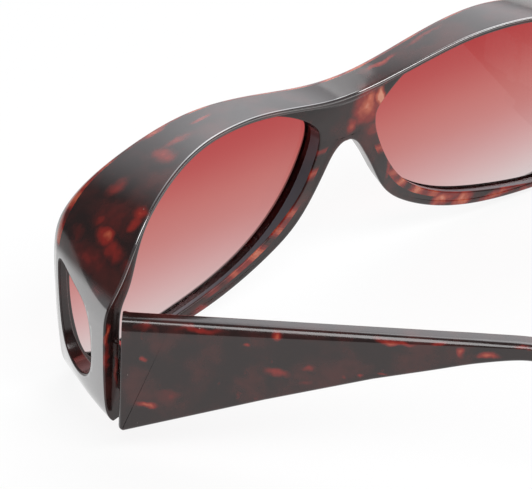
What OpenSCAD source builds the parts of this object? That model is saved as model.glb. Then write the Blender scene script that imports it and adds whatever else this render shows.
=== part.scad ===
// Fit-over reading glasses with a deep brow shelf, open side windows and folding temples.
// Millimetres. +X is the wearer's left, -Y is the side the wearer looks out of, +Z is up.
// The left temple is drawn partly folded in and the right temple is drawn open.

/* [Show] */
// Which piece to draw

/* [Front] */
// Overall width of the front, over the two side shields
frame_w = 152; // [146:1:160]
// Height of the front from the bottom of the rims to the top of the brow
front_h = 51; // [48:0.5:56]
// How far the rear edge of the side shields lies behind the lens plane
shield_depth = 22.5; // [20:0.5:26]
// Wall of the brow shelf at the rims
shelf_t = 1.8; // [1.5:0.1:2]
// Wall of the brow shelf at its rear edge
shelf_edge_t = 1.2; // [1:0.1:1.5]
// Roundness given to the front outer edge of the rims
front_round = 0.9; // [0.6:0.1:1.2]
// Wall of the side shields at the rims
shield_t = 2; // [1.6:0.1:2.4]
// How far the side shields bulge outwards halfway back
shield_belly = 0.8; // [0:0.1:1]

/* [Lenses] */
// Thickness of a lens at its edge
lens_t = 1.8; // [1.5:0.1:2]
// How much thicker a lens is in its middle
lens_bulge = 0.8; // [0.5:0.1:1.2]
// How deep the lens edge sits in the groove of the rim
groove_depth = 0.5; // [0.4:0.1:0.6]

/* [Temples] */
// Distance from the hinge screw to the tip of a temple
temple_len = 95.4; // [88:0.2:95.4]
// Height of a temple at its hinge end
temple_h = 25.2; // [22:0.2:26]
// Height of a temple where it is slimmest, ahead of the ear bend
temple_slim_h = 3.7; // [3.2:0.1:5]
// Thickness of a temple
temple_t = 3.9; // [3.4:0.1:4.2]
// How far the left temple is folded in from open, in degrees
left_fold = 48; // [0:1:48]

/* [Hinges] */
// Height of the three hinge knuckles together
hinge_h = 10; // [8:0.5:12]
// Radius of the knuckles
knuckle_r = 1.5; // [1.3:0.05:1.5]
// Radius of the screw shank
screw_r = 0.7; // [0.6:0.05:0.75]
// Thickness of a hinge leaf
leaf_t = 1; // [0.8:0.1:1.1]
// Length of the hinge leaf on a side shield
front_leaf_len = 3.8; // [3:0.2:4]
// Length of the hinge leaf on a temple
temple_leaf_len = 8; // [6:0.5:10]

/* [Hidden] */

eps = 0.01;
// Steps between two drawn points of an outline
steps = 4;
// Play of a lens in its groove
seat_gap = 0.05;

// The outlines below are drawn for these sizes and follow the sizes above
drawn_w = 152;
drawn_h = 51;
drawn_depth = 22.5;
kx = frame_w / drawn_w;
ky = shield_depth / drawn_depth;
kz = front_h / drawn_h;

// Front face of the rims, ahead of the lens plane
rim_front = -2.4;
// Top edge of the temples above the level that the outlines are drawn from
temple_rise = 9.9;
// Middle of the hinges below that level
hinge_drop = 3.9;

// Left lens opening as [across, up], from the nose corner over the top and round
opening_drawn = [
    [7.9, 17.7], [9.9, 19.9], [14.2, 22.5], [19.9, 24.4], [28.1, 25.7], [36.1, 26.2],
    [44.1, 25.6], [52.1, 23.9], [60.1, 20.6], [65.2, 16.2], [67.8, 11.3], [68.5, 6],
    [68.3, 1.4], [67.7, -2.7], [66.8, -6.9], [65.9, -10.2], [64.8, -13.4], [62.9, -16.6],
    [59.7, -17.9], [54.6, -17.5], [46.4, -15.9], [38.4, -13.9], [29.8, -11.1], [21.7, -6.8],
    [15.7, -1.6], [11.6, 3.9], [9.2, 8.7], [7.8, 12.6], [7.5, 14.2], [7.4, 15.4], [7.5, 16.5]];

// Outer edge of the front as [across, back, up], point for point with the opening.
// It runs past the middle at the bridge, so that its curve is level there.
outer_drawn = [
    [-4.4, -1.5, 25.1], [4, -1.5, 25.1], [12, -1.5, 26.2], [20.1, -1.5, 27.8],
    [28.2, -1.5, 29.1], [36.3, -1.5, 29.6], [44.4, -1.5, 28.7], [52.9, -1.5, 26.4],
    [61.4, -1.2, 23.3], [67.8, -0.2, 19.6], [71, 1, 15.2], [71.6, 1.2, 9.8],
    [71.4, 1.2, 4.3], [70.9, 1.2, -1.8], [70.3, 1.1, -7.9], [69.6, 0.8, -11.5],
    [68.7, 0.2, -14.9], [66.3, -0.8, -18.2], [61, -1.5, -20], [54.2, -1.5, -19.5],
    [46, -1.5, -17.9], [37.9, -1.5, -15.8], [29, -1.5, -12.9], [20.2, -1.5, -8.2],
    [13.3, -1.5, -2.6], [8.8, -1.5, 4], [5.9, -1.5, 8.3], [3.5, -1.5, 11.5],
    [-0.2, -1.5, 13], [-3.7, -1.5, 11.5], [-12, -1.5, 26.2]];

// Rear outer edge of the shelf, the side shield and the rims as [across, back, up]
rear_drawn = [
    [-4.4, 4.3, 23.4], [4, 4.3, 23.4], [12, 5.6, 25.6], [20, 7, 28],
    [28, 8.1, 29.8], [36.4, 9.5, 30.6], [44.8, 11.6, 30.8], [53.2, 14.3, 29.1],
    [61.4, 18, 26.3], [67.5, 21.3, 23], [72, 22.3, 14.6], [75.8, 22.5, 9.8],
    [76, 22.5, 4], [75.8, 22.5, -4], [75.2, 22.5, -11.8], [74.2, 22.5, -15],
    [72.2, 22, -17], [67.4, 3.4, -17], [61.1, 2.4, -19], [54.1, 2.4, -18.8],
    [45.6, 2.4, -17.6], [37.1, 2.4, -15.8], [28.2, 2.4, -12.9], [19.4, 2.6, -8.5],
    [12.2, 3.2, -3.2], [7.7, 4, 3.4], [5.1, 4, 7.9], [3, 4, 11.4],
    [-0.2, 4, 13.2], [-3.2, 4, 11.4], [-12, 5.6, 25.6]];

// Wall of the shelf or the side shield, point for point, as shares of
// [shelf wall, side wall, rim]. The side wall thickens towards the hinge, to the
// thickness of a temple.
wall_share = [
    [1, 0, 0], [1, 0, 0], [1, 0, 0], [1, 0, 0], [1, 0, 0], [1, 0, 0],
    [1, 0, 0], [1, 0, 0], [1, 0, 0], [1, 0, 0], [0.4, 0.6, 0], [0, 1, 0],
    [0, 1, 0], [0, 1, 0], [0, 1, 0], [0, 1, 0], [0, 0.6, 0.4], [0, 0, 1],
    [0, 0, 1], [0, 0, 1], [0, 0, 1], [0, 0, 1], [0, 0, 1], [0, 0, 1],
    [0, 0, 1], [0, 0, 1], [0, 0, 1], [0, 0, 1], [0, 0, 1], [0, 0, 1], [1, 0, 0]];
rim_wall = 1.2;

// Where the rim's own rear face lies, point for point
face_y_drawn = [
    4, 4, 3.4, 2.6, 2.4, 2.4, 2.4, 2.4, 2.4, 2.2, 1.9, 1.8,
    1.8, 1.8, 1.8, 1.8, 1.9, 2.1, 2.2, 2.2, 2.2, 2.2, 2.2, 2.6,
    3.2, 4, 4, 4, 4, 4, 4];

// Window in the side shield as [back, up], and a point in its middle
window_drawn = [
    [3, 10.8], [7.8, 9.7], [12.4, 8.5], [15, 7.2], [16.6, 4.4], [17.5, -0.6],
    [17.1, -5.4], [15.4, -8.6], [12, -10.2], [8.4, -10.1], [5.5, -8.7], [3.8, -5.6],
    [3.1, -1.5], [2.9, 3], [2.8, 8.2]];
window_mid = [10, 1];

// Hinge screw line, beside the inner faces of the temple and the end piece
half_w = kx * max([for (p = rear_drawn) p[0]]);
temple_in = half_w - temple_t;
pin_in = 1;
pin_x = temple_in - pin_in;
pin_back = 1.4;
pin_y = shield_depth + pin_back;
butt_gap = 0.2;
butt_y = shield_depth + butt_gap;

// Side outline of a temple as [back from the screw line, up from its top edge]: over the
// top and round the tip, then along the bottom as heights below its slimmest height.
// Behind the bend the outline follows the length of the temple.
drawn_len = 96.4;
bend_s = 76;
temple_top_drawn = [
    [25, 0], [50, 0], [68, 0], [78, -0.3], [84, -2.4],
    [90.4, -6.1], [95, -10.5], [96.4, -12.5], [95.5, -14.2], [93.2, -14.3]];
temple_low_drawn = [[88.6, -6.1], [82, -1.5], [76, 0], [67, -1.2], [57.4, -3.6], [47, -6.2]];
// Where the straight taper of the bottom edge ends, and its share of the loss in height
taper_s = 26.6;
taper_share = 0.42;

function lerp(a, b, t) = a + (b - a) * t;

function curve_at(a, b, c, d, t) =
    0.5 * (2 * b + (c - a) * t + (2 * a - 5 * b + 4 * c - d) * t * t
    + (3 * b - a - 3 * c + d) * t * t * t);

// Smooth closed curve through the points of a list
function closed_curve(p, m = steps) = let (n = len(p))
    [for (i = [0 : n - 1]) for (j = [0 : m - 1])
        curve_at(p[(i + n - 1) % n], p[i], p[(i + 1) % n], p[(i + 2) % n], j / m)];

// Smooth open curve through the points of a list
function open_curve(p) = let (n = len(p))
    [for (i = [0 : n - 2]) for (j = [0 : (i == n - 2 ? steps : steps - 1)])
        curve_at(p[max(i - 1, 0)], p[i], p[i + 1], p[min(i + 2, n - 1)], j / steps)];

function unit(v) = v / max(norm(v), eps / 100);

// Direction across a closed outline that runs clockwise, pointing into it
function inward(p, i) = let (n = len(p), d = unit(p[(i + 1) % n] - p[(i + n - 1) % n]))
    [d[1], -d[0]];

// Closed outline moved outwards by a distance, or inwards by a negative one
function grown(p, by) = [for (i = [0 : len(p) - 1]) p[i] - inward(p, i) * by];

// Heights above the lowest point of the rims, which lies at zero
rim_low = -kz * min([for (p = concat(closed_curve(outer_drawn), closed_curve(rear_drawn))) p[2]]);
temple_top = rim_low + temple_rise * kz;
hinge_mid = rim_low - hinge_drop * kz;
// The origin is under the middle of everything
mid_y = (pin_y + temple_len + rim_front) / 2;

opening = closed_curve([for (p = opening_drawn) [p[0] * kx, rim_low + p[1] * kz]]);
outer_edge = closed_curve([for (p = outer_drawn) [p[0] * kx, p[1], rim_low + p[2] * kz]]);
outer = [for (p = outer_edge) [p[0], p[2]]];
rear = [for (p = closed_curve(rear_drawn))
    [min(p[0] * kx, half_w), min(p[1] * ky, shield_depth), rim_low + p[2] * kz]];
rear_flat = [for (p = rear) [p[0], p[2]]];
root_t = closed_curve([for (w = wall_share) w * [shelf_t, shield_t, rim_wall]]);
rear_t = closed_curve([for (w = wall_share) w * [shelf_edge_t, temple_t, rim_wall]]);
belly = closed_curve([for (w = wall_share) w * [0, shield_belly, 0]]);
face_y = closed_curve(face_y_drawn);
window_corner = 0.3;
// How far the cut for the window reaches either way from the widest point
window_reach = 12;
window = closed_curve([for (p = window_drawn) [p[0] * ky, rim_low + p[1] * kz]], 2);

function at(p, y) = [p[0], y, p[1]];

// The rail points of one section of the front, from the lens opening outwards and back
function section(i) = let (
        o = opening[i],
        f = outer[i],
        f_y = outer_edge[i][1],
        r = rear[i],
        depth = max(r[1], face_y[i] + eps),
        bevel = front_round * (1 + 0.6 * (f_y - rim_front - front_round)),
        into = inward(outer, i),
        face_in = f + into * bevel,
        share = min((face_y[i] - f_y) / (depth - f_y), 1),
        skin = lerp(f, rear_flat[i], share),
        halfway = lerp(f, rear_flat[i], 0.5) - into * belly[i])
    [at(o, rim_front), at(o, face_y[i]),
        at(skin + into * root_t[i], face_y[i]),
        at(rear_flat[i] + into * rear_t[i], depth),
        at(rear_flat[i], depth), at(halfway, (f_y + depth) / 2),
        at(f, f_y), at(face_in, rim_front)];

// Closed ring of sections, each a list of points
module ring_solid(rows) {
    n = len(rows);
    m = len(rows[0]);
    pts = [for (row = rows) for (p = row) p];
    faces = [for (i = [0 : n - 1]) for (j = [0 : m - 1])
        let (a = i * m + j, b = i * m + (j + 1) % m,
            c = ((i + 1) % n) * m + (j + 1) % m, d = ((i + 1) % n) * m + j)
        each [[a, c, b], [a, d, c]]];
    polyhedron(points = pts, faces = faces, convexity = 10);
}

// Triangles across a closed outline of n points, rung by rung from its first point
function rungs(n) = [for (k = [0 : ceil(n / 2) - 2]) each concat(
    [[k, k + 1, n - 1 - k]],
    k + 1 < n - 2 - k ? [[k + 1, n - 2 - k, n - 1 - k]] : [])];

// Stack of closed outlines, capped at both ends
module stack_solid(rows) {
    n = len(rows);
    m = len(rows[0]);
    pts = [for (row = rows) for (p = row) p];
    sides = [for (i = [0 : n - 2]) for (j = [0 : m - 1])
        let (a = i * m + j, b = i * m + (j + 1) % m,
            c = (i + 1) * m + (j + 1) % m, d = (i + 1) * m + j)
        each [[a, b, c], [a, c, d]]];
    first = [for (t = rungs(m)) [t[2], t[1], t[0]]];
    last = [for (t = rungs(m)) [for (j = t) (n - 1) * m + j]];
    polyhedron(points = pts, faces = concat(sides, first, last), convexity = 10);
}

module to_origin() {
    translate([0, -mid_y, 0])
        children();
}

module other_side() {
    mirror([1, 0, 0])
        children();
}

// Turns a piece of the left temple to where the temple is folded
module folded(angle) {
    translate([pin_x, pin_y, 0])
        rotate([0, 0, angle])
            translate([-pin_x, -pin_y, 0])
                children();
}

// Slab of an outline in the plane of the lenses, from one depth to another
module slab(p, y0, y1) {
    translate([0, y1, 0])
        rotate([90, 0, 0])
            linear_extrude(y1 - y0)
                polygon(p);
}

// Round bar across the side shield, through one point of the window
module window_bar(p) {
    translate([half_w - window_reach, p[0], p[1]])
        rotate([0, 90, 0])
            cylinder(r = window_corner, h = 2 * window_reach, $fn = 6);
}

// The window is a fan of wedges from its middle to its edge
module window_hole() {
    n = len(window);
    mid = [window_mid[0] * ky, rim_low + window_mid[1] * kz];
    for (i = [0 : 2 : n - 1])
        hull() {
            window_bar(mid);
            window_bar(window[i]);
            window_bar(window[(i + 1) % n]);
            window_bar(window[(i + 2) % n]);
        }
}

// The wearer's left half of the front, cut off square at the middle plane
module front_half() {
    difference() {
        intersection() {
            ring_solid([for (i = [0 : len(opening) - 1]) section(i)]);
            translate([0, -half_w, -front_h])
                cube([2 * half_w, 2 * half_w, 3 * front_h]);
        }
        slab(grown(opening, groove_depth), -lens_t / 2, lens_t / 2);
        window_hole();
        leaf_seat();
    }
}

// Flat seat for the hinge leaf in the inner face of the end piece
module leaf_seat() {
    play = 0.05;
    past = 3;
    translate([temple_in - past, pin_y - knuckle_r - 0.2 - front_leaf_len - play, hinge_low - play])
        cube([past, front_leaf_len + past, hinge_h + 2 * play]);
}

module front_frame() {
    color([0.2, 0.11, 0.09])
        to_origin() {
            front_half();
            other_side()
                front_half();
        }
}

// Middle of a lens as [across, up]
lens_mid = [39, 4.5];
// How far the dome starts inside the opening
dome_inset = 0.2;

// Lens outline drawn in towards the middle of the lens
function lens_ring(share, y) = let (mid = [lens_mid[0] * kx, rim_low + lens_mid[1] * kz])
    [for (p = grown(opening, -dome_inset)) at(mid + (p - mid) * share, y)];

module lens() {
    half_t = lens_t / 2 - seat_gap;
    edge = grown(opening, groove_depth - seat_gap);
    stack_solid(concat(
        [[for (p = edge) at(p, half_t)], [for (p = edge) at(p, -half_t)]],
        [for (share = [1, 0.75, 0.5, 0.25])
            lens_ring(share, -half_t - lens_bulge * (1 - share * share))]));
}

module lens_left() {
    color([0.8, 0.42, 0.44, 0.6])
        to_origin()
            lens();
}

module lens_right() {
    color([0.8, 0.42, 0.44, 0.6])
        to_origin()
            other_side()
                lens();
}

function behind_bend(s) = s <= bend_s ? s
    : bend_s + (s - bend_s) * (temple_len - bend_s) / (drawn_len - bend_s);

// Side outline of a temple as [distance back from the screw line, up]
temple_side = let (
        s0 = butt_y - pin_y,
        top = open_curve(concat([[s0, 0]],
            [for (p = temple_top_drawn) [behind_bend(p[0]), p[1]]],
            [for (p = temple_low_drawn) [behind_bend(p[0]), p[1] - temple_slim_h]])),
        low = [[taper_s, -lerp(temple_h, temple_slim_h, taper_share)], [s0, -temple_h]])
    [for (p = concat(top, low)) [p[0], temple_top + p[1]]];

// A temple in the open position: the side outline across the thickness, its edges rounded
module temple_body() {
    edge = 0.7;
    x0 = temple_in;
    x1 = half_w;
    layers = [[x0, -edge], [x0 + 0.2 * edge, -0.4 * edge], [x0 + edge, 0],
        [x1 - edge, 0], [x1 - 0.2 * edge, -0.4 * edge], [x1, -edge]];
    stack_solid([for (l = layers)
        [for (p = grown(temple_side, l[1])) [l[0], pin_y + p[0], p[1]]]]);
}

// The body with room for the knuckles and the screw head cut into its hinge end
module temple() {
    difference() {
        temple_body();
        translate([pin_x, pin_y, hinge_low - 0.6])
            cylinder(r = knuckle_r + 0.2, h = hinge_h + 2, $fn = 48);
    }
}

module temple_left() {
    color([0.17, 0.1, 0.09])
        to_origin()
            folded(left_fold)
                temple();
}

module temple_right() {
    color([0.17, 0.1, 0.09])
        to_origin()
            other_side()
                temple();
}

// Knuckle heights: the front leaf holds the outer two, the temple leaf the middle one
knuckle_gap = 0.1;
knuckle_h = (hinge_h - 2 * knuckle_gap) / 3;
hinge_low = hinge_mid - hinge_h / 2;
bore_r = screw_r + 0.05;

module knuckle(level) {
    translate([pin_x, pin_y, hinge_low + level * (knuckle_h + knuckle_gap)])
        difference() {
            cylinder(r = knuckle_r, h = knuckle_h, $fn = 48);
            translate([0, 0, -1])
                cylinder(r = bore_r, h = knuckle_h + 2, $fn = 48);
        }
}

// Half the width of a knuckle at some distance from its middle
function knuckle_reach(x) = sqrt(knuckle_r * knuckle_r - x * x);

// Flat leaf against the plane of the inner faces, from a distance behind the screw line
module leaf_plate(y0, len_y) {
    translate([temple_in - leaf_t, pin_y + y0, hinge_low])
        cube([leaf_t, len_y, hinge_h]);
}

// Link from a leaf to one knuckle, less the screw's bore
module web(level, y0, y1) {
    z = hinge_low + level * (knuckle_h + knuckle_gap);
    difference() {
        translate([temple_in - leaf_t, pin_y + y0, z])
            cube([leaf_t - 0.1, y1 - y0, knuckle_h]);
        translate([pin_x, pin_y, z - 1])
            cylinder(r = bore_r, h = knuckle_h + 2, $fn = 48);
    }
}

module hinge_front_leaf() {
    leaf_plate(-knuckle_r - 0.2 - front_leaf_len, front_leaf_len);
    for (level = [0, 2]) {
        knuckle(level);
        web(level, -knuckle_r - 0.4, -knuckle_reach(pin_in - 0.1));
    }
}

module hinge_temple_leaf() {
    leaf_plate(knuckle_r + 0.3, temple_leaf_len);
    knuckle(1);
    web(1, knuckle_reach(pin_in - 0.1), knuckle_r + 0.5);
}

module hinge_screw() {
    head_r = 1.25;
    head_h = 0.7;
    top = hinge_low + hinge_h;
    translate([pin_x, pin_y, 0])
        difference() {
            union() {
                translate([0, 0, hinge_low - 0.3])
                    cylinder(r = screw_r, h = hinge_h + 0.4, $fn = 48);
                translate([0, 0, top])
                    cylinder(r = head_r, h = head_h, $fn = 48);
            }
            translate([-head_r - 1, -0.2, top + head_h - 0.35])
                cube([2 * head_r + 2, 0.4, 1]);
        }
}

module hinge_front_leaf_left() {
    color([0.5, 0.5, 0.52])
        to_origin()
            hinge_front_leaf();
}

module hinge_front_leaf_right() {
    color([0.5, 0.5, 0.52])
        to_origin()
            other_side()
                hinge_front_leaf();
}

module hinge_temple_leaf_left() {
    color([0.5, 0.5, 0.52])
        to_origin()
            folded(left_fold)
                hinge_temple_leaf();
}

module hinge_temple_leaf_right() {
    color([0.5, 0.5, 0.52])
        to_origin()
            other_side()
                hinge_temple_leaf();
}

module hinge_screw_left() {
    color([0.7, 0.7, 0.72])
        to_origin()
            hinge_screw();
}

module hinge_screw_right() {
    color([0.7, 0.7, 0.72])
        to_origin()
            other_side()
                hinge_screw();
}

front_frame();
lens_left();
lens_right();
temple_left();
temple_right();
hinge_front_leaf_left();
hinge_front_leaf_right();
hinge_temple_leaf_left();
hinge_temple_leaf_right();
hinge_screw_left();
hinge_screw_right();
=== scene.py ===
import math

import bmesh
import bpy
import numpy as np
from mathutils import Matrix, Vector
from mathutils.bvhtree import BVHTree


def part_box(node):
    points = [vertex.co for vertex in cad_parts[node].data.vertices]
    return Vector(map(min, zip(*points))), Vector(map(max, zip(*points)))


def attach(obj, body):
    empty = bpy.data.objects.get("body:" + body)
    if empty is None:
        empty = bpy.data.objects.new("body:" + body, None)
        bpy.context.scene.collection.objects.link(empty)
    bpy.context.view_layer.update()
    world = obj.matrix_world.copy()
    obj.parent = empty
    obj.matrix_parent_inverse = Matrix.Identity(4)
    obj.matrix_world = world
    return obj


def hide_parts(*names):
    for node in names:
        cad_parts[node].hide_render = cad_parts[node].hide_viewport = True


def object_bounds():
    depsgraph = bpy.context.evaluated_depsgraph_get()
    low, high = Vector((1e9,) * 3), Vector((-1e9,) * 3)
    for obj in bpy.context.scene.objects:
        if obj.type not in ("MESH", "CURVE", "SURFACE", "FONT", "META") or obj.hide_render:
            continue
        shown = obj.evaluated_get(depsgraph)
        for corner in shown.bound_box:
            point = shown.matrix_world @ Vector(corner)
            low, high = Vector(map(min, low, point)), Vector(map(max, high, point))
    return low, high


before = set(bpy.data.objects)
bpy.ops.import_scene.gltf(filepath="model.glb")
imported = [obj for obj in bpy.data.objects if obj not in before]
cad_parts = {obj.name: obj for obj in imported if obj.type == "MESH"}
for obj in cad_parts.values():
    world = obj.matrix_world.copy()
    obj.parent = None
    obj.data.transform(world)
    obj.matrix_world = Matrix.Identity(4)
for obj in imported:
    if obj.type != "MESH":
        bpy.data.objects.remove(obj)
cad_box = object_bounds()

# Fit-over reading glasses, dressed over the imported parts.
# Shapes are worked out in millimetres in the drawing frame: X to the wearer's left, Y back
# from the lens plane, Z up from a level through the lenses. place() takes them to the row frame.

MM = 0.001

# Front
FRAME_W = 152.0
RIM_FRONT = -2.4
SHIELD_DEPTH = 22.5
SHELF_T = 1.8
SHELF_EDGE_T = 1.2
SHIELD_T = 2.0
SHIELD_BELLY = 0.8
RIM_WALL = 1.2
GROOVE = 0.5
WINDOW_ROUND = 0.5
SEAT_PLAY = 0.05

# Radii of the outer edges at (shelf, side shield, rim), and the bevel between rim and front,
# which grows where the edge lies further back
REAR_RADII = (0.5, 0.45, 0.55)
FRONT_RADII = (1.2, 0.9, 0.8)
FRONT_BEVEL = 0.9
BEVEL_GROWTH = 0.6

# Lenses
LENS_T = 1.8
LENS_BULGE = 0.8
LENS_PLAY = 0.05
LENS_LIP = 0.2
LENS_MIDDLE = (39.0, 4.5)

# Temples: heights at the hinge and at the ear bend, the bend's place back from the screw
# line, the tip's length as its outline is drawn, and how far the tip drops
TEMPLE_T = 3.9
TEMPLE_H = 25.2
TEMPLE_SLIM_H = 3.7
BEND = 76.0
DRAWN_TIP_L = 20.4
DROP = 11.4
TIP_CLEAR = 0.01
HINGE_CORNER_R = 1.0
INNER_R, OUTER_R, END_R = 0.5, 0.8, 0.3
LEFT_FOLD = 48.0

# What is left of the crown and its depth at the bend, and of all rounding at the end of the
# tip, with the length over which the rounding fades
CROWN_LEAST = 0.3
CROWN_DEPTH_LEAST = 0.55
TIP_ROUND_LEAST = 0.35
TIP_FADE = 14.0

# Hinges
PIN_X = FRAME_W / 2 - TEMPLE_T - 1.0
PIN_Y = SHIELD_DEPTH + 1.4
KNUCKLE_ROOM_R = 1.7
KNUCKLE_ROOM_BELOW = 0.6
KNUCKLE_ROOM_ABOVE = 1.4

# Left lens opening as (across, up), from the nose corner over the top and round
OPENING = [
    (7.9, 17.7), (9.9, 19.9), (14.2, 22.5), (19.9, 24.4), (28.1, 25.7), (36.1, 26.2),
    (44.1, 25.6), (52.1, 23.9), (60.1, 20.6), (65.2, 16.2), (67.8, 11.3), (68.5, 6),
    (68.3, 1.4), (67.7, -2.7), (66.8, -6.9), (65.9, -10.2), (64.8, -13.4), (62.9, -16.6),
    (59.7, -17.9), (54.6, -17.5), (46.4, -15.9), (38.4, -13.9), (29.8, -11.1), (21.7, -6.8),
    (15.7, -1.6), (11.6, 3.9), (9.2, 8.7), (7.8, 12.6), (7.5, 14.2), (7.4, 15.4), (7.5, 16.5)]

# Front outer edge as (across, back, up), point for point with the opening
FRONT_EDGE = [
    (-4.4, -1.5, 25.1), (4, -1.5, 25.1), (12, -1.5, 26.2), (20.1, -1.5, 27.8),
    (28.2, -1.5, 29.1), (36.3, -1.5, 29.6), (44.4, -1.5, 28.7), (52.9, -1.5, 26.4),
    (61.4, -1.2, 23.3), (67.8, -0.2, 19.6), (71, 1, 15.2), (71.6, 1.2, 9.8),
    (71.4, 1.2, 4.3), (70.9, 1.2, -1.8), (70.3, 1.1, -7.9), (69.6, 0.8, -11.5),
    (68.7, 0.2, -14.9), (66.3, -0.8, -18.2), (61, -1.5, -20), (54.2, -1.5, -19.5),
    (45.9, -1.5, -18.3), (37.6, -1.5, -16.5), (28.6, -1.5, -13.8), (19.6, -1.5, -9),
    (12.8, -1.5, -3.3), (8.8, -1.5, 4), (5.9, -1.5, 8.3), (3.5, -1.5, 11.5),
    (-0.2, -1.5, 13), (-3.7, -1.5, 11.5), (-12, -1.5, 26.2)]

# Rear outer edge of the shelf, the side shield and the rims
REAR_EDGE = [
    (-4.4, 4.3, 23.4), (4, 4.3, 23.4), (12, 5.6, 25.6), (20, 7, 28),
    (28, 8.1, 29.8), (36.4, 9.5, 30.6), (44.8, 11.6, 30.8), (53.2, 14.3, 29.1),
    (61.4, 18, 26.3), (67.5, 21.3, 23), (72, 22.3, 14.6), (75.8, 22.5, 9.8),
    (76, 22.5, 4), (75.8, 22.5, -4), (75.2, 22.5, -11.8), (74.2, 22.5, -15),
    (72.2, 22, -17), (67.4, 3.4, -17), (61.1, 2.4, -19), (54.1, 2.4, -18.8),
    (45.5, 2.4, -18), (36.8, 2.4, -16.5), (27.8, 2.4, -13.8), (18.8, 2.6, -9.4),
    (11.7, 3.2, -3.9), (7.7, 4, 3.4), (5.1, 4, 7.9), (3, 4, 11.4),
    (-0.2, 4, 13.2), (-3.2, 4, 11.4), (-12, 5.6, 25.6)]

# Shares of (shelf, side shield, rim), point for point
SHARES = (
    [(1, 0, 0)] * 10 + [(0.4, 0.6, 0)] + [(0, 1, 0)] * 5 + [(0, 0.6, 0.4)]
    + [(0, 0, 1)] * 13 + [(1, 0, 0)])

# Where the rim's own rear face lies, point for point
FACE_Y = [
    4, 4, 3.4, 2.6, 2.4, 2.4, 2.4, 2.4, 2.4, 2.2, 1.9, 1.8,
    1.8, 1.8, 1.8, 1.8, 1.9, 2.1, 2.2, 2.2, 2.2, 2.2, 2.2, 2.6,
    3.2, 4, 4, 4, 4, 4, 4]

# How far the opening widens to the front of the rim, point for point: on the nose side
# and below, so that the wall ahead of the lens isn't seen through it
FLARE = [1, 1, 0.8, 0.4] + [0] * 13 + [0.2, 0.7] + [1.2] * 11 + [1.1]

# Window in the side shield as (back, up)
WINDOW = [
    (3, 10.8), (7.8, 9.7), (12.4, 8.5), (15, 7.2), (16.6, 4.4), (17.5, -0.6),
    (17.1, -5.4), (15.4, -8.6), (12, -10.2), (8.4, -10.1), (5.5, -8.7), (3.8, -5.6),
    (3.1, -1.5), (2.9, 3), (2.8, 8.2)]

# Outer side of a temple from its top down, as (length, tilt of the face in degrees):
# a soft shoulder, a crisp edge, and a crown that leans in less and less
CROWN = [
    (0.4, 85), (0.3, 78), (0.22, 70), (0.16, 62), (0.14, 55), (0.14, 49), (0.14, 43),
    (0.12, 38), (0.3, 34.5), (0.3, 31.5), (0.3, 28.5), (0.3, 25), (0.3, 21.5), (0.3, 18),
    (0.2, 13), (0.2, 8), (0.2, 3)]

# Fineness: sections between two points of the lists above, points on a rounded edge, points
# between two points of the temple's outline, and how many key rows the outlines are evened over
ROW_STEPS = 14
EDGE_STEPS = 5
TEMPLE_STEPS = 8
EVENNESS = 0.42

# Least depth of a rear face, and the most of a face that the round edge beside it may take
LEAST_FACE = 0.01
MOST_CUT = 0.45

# Places among the rails of a section: wall behind the lens, inner rear edge of the rim,
# rear outer edge and front outer edge
LENS_WALL = 4
RIM_EDGE = 5
REAR_CORNER = 8
FRONT_CORNER = 9

# Parts of the front in key rows, with the (start, end) of the soft steps into and out of each
SHIELD_ROWS = ((10.3, 10.8), (16.2, 16.6))
NO_SHELF_ROWS = ((10.5, 10.9), (29.2, 29.8))
RIM_ROWS = ((18.5, 19.5), (28.5, 29.5))
BROW_END = (10.2, 10.6)
SHELF_EDGE_POLISH = 0.8
# Least share of the painted reflection in the wall behind the lens, outside the rims
LENS_WALL_REFLECTION_LEAST = 0.4

# Painted light: bright streaks, as of light through the plastic, in the rim beside the nose and
# below, as (key row, reach in rows, strength)
LIGHT_STREAKS = [
    (25.8, 0.3, 0.75), (24.3, 0.32, 0.8), (23.7, 0.22, 0.95), (22.95, 0.3, 1.0),
    (22.3, 0.3, 0.8), (21.6, 0.3, 0.55), (27.0, 0.3, 0.5), (19.3, 0.5, 0.5)]

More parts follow.
